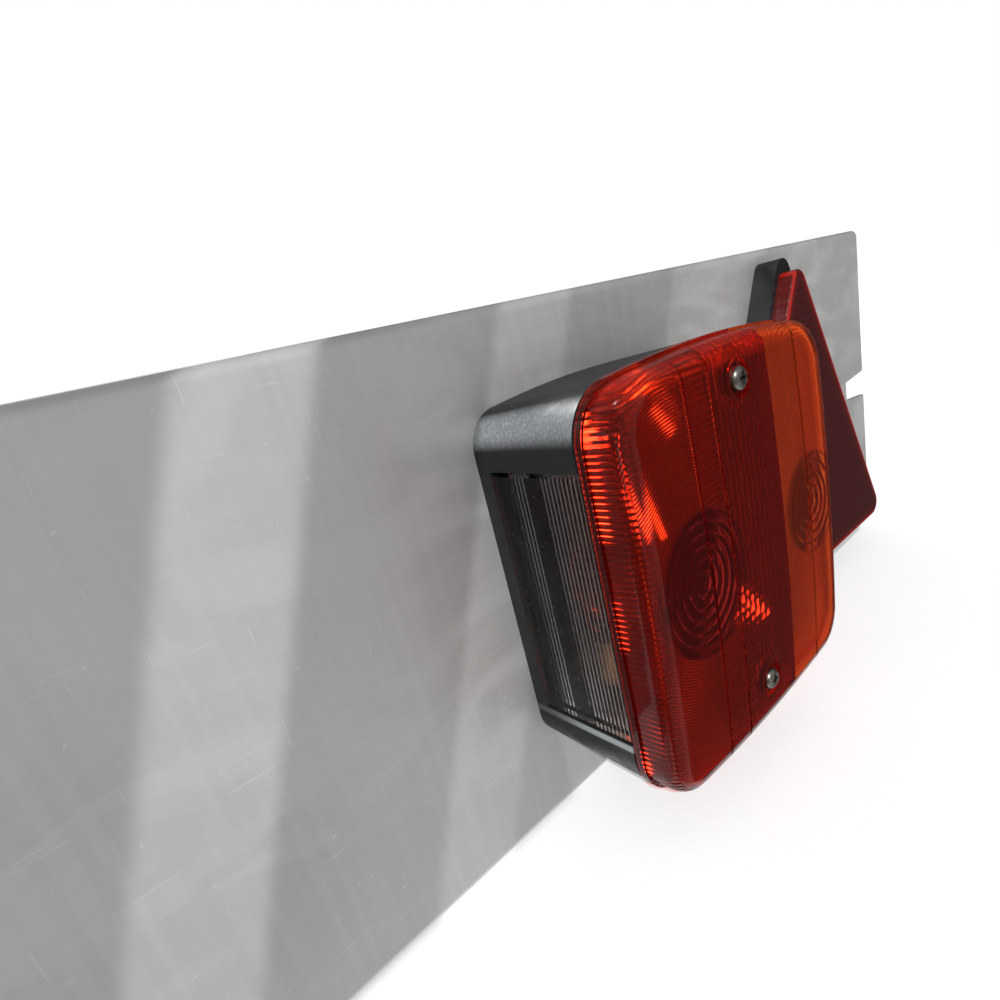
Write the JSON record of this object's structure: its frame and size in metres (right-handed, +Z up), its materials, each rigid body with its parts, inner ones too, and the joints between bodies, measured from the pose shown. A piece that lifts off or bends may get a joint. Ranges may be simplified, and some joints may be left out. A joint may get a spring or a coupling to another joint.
{
  "type": "trailer lighting board",
  "caption": "Folded aluminium board with a combined rear lamp and a red triangular reflector at each end, and a tie notch in each end edge.",
  "frame": {"origin": "middle of the board's underside, half way between the lamp fronts and the back edges of the folds", "axes": "+X along the board to the right as seen from behind the trailer, +Z up, lamps facing -Y"},
  "size_m": [1.22, 0.07, 0.15],
  "materials": {
    "mill_aluminium": "satin mill finish with faint scratches",
    "black_plastic": "fine moulded texture, scuffed at the corners",
    "red_plastic": "clear red, polished",
    "amber_plastic": "clear amber, polished",
    "clear_plastic": "clear, fluted",
    "reflex_red": "red with prisms behind a smooth face",
    "black_rubber": "matt",
    "zinc_steel": "zinc plated",
    "brass_strip": "plain",
    "bulb_glass": "clear"
  },
  "bodies": {
    "root": {"board_panel": "mill_aluminium", "left_amber_lens": "amber_plastic", "left_bulb_plate": "zinc_steel", "left_cable_grommet": "black_rubber", "left_indicator_bulb": "bulb_glass", "left_indicator_bulb_holder": "brass_strip", "left_lamp_bolts": "zinc_steel", "left_lamp_housing": "black_plastic", "left_lamp_nuts": "zinc_steel", "left_lamp_washers": "zinc_steel", "left_lens_gasket": "black_rubber", "left_lens_screws": "zinc_steel", "left_plate_window": "clear_plastic", "left_red_lens": "red_plastic", "left_tail_bulb": "bulb_glass", "left_tail_bulb_holder": "brass_strip", "left_triangle_base": "black_plastic", "left_triangle_lens": "reflex_red", "left_triangle_nuts": "zinc_steel", "left_triangle_studs": "zinc_steel", "left_triangle_washers": "zinc_steel", "right_amber_lens": "amber_plastic", "right_bulb_plate": "zinc_steel", "right_cable_grommet": "black_rubber", "right_indicator_bulb": "bulb_glass", "right_indicator_bulb_holder": "brass_strip", "right_lamp_bolts": "zinc_steel", "right_lamp_housing": "black_plastic", "right_lamp_nuts": "zinc_steel", "right_lamp_washers": "zinc_steel", "right_lens_gasket": "black_rubber", "right_lens_screws": "zinc_steel", "right_plate_window": "clear_plastic", "right_red_lens": "red_plastic", "right_tail_bulb": "bulb_glass", "right_tail_bulb_holder": "brass_strip", "right_triangle_base": "black_plastic", "right_triangle_lens": "reflex_red", "right_triangle_nuts": "zinc_steel", "right_triangle_studs": "zinc_steel", "right_triangle_washers": "zinc_steel"}
  },
  "joints": []
}
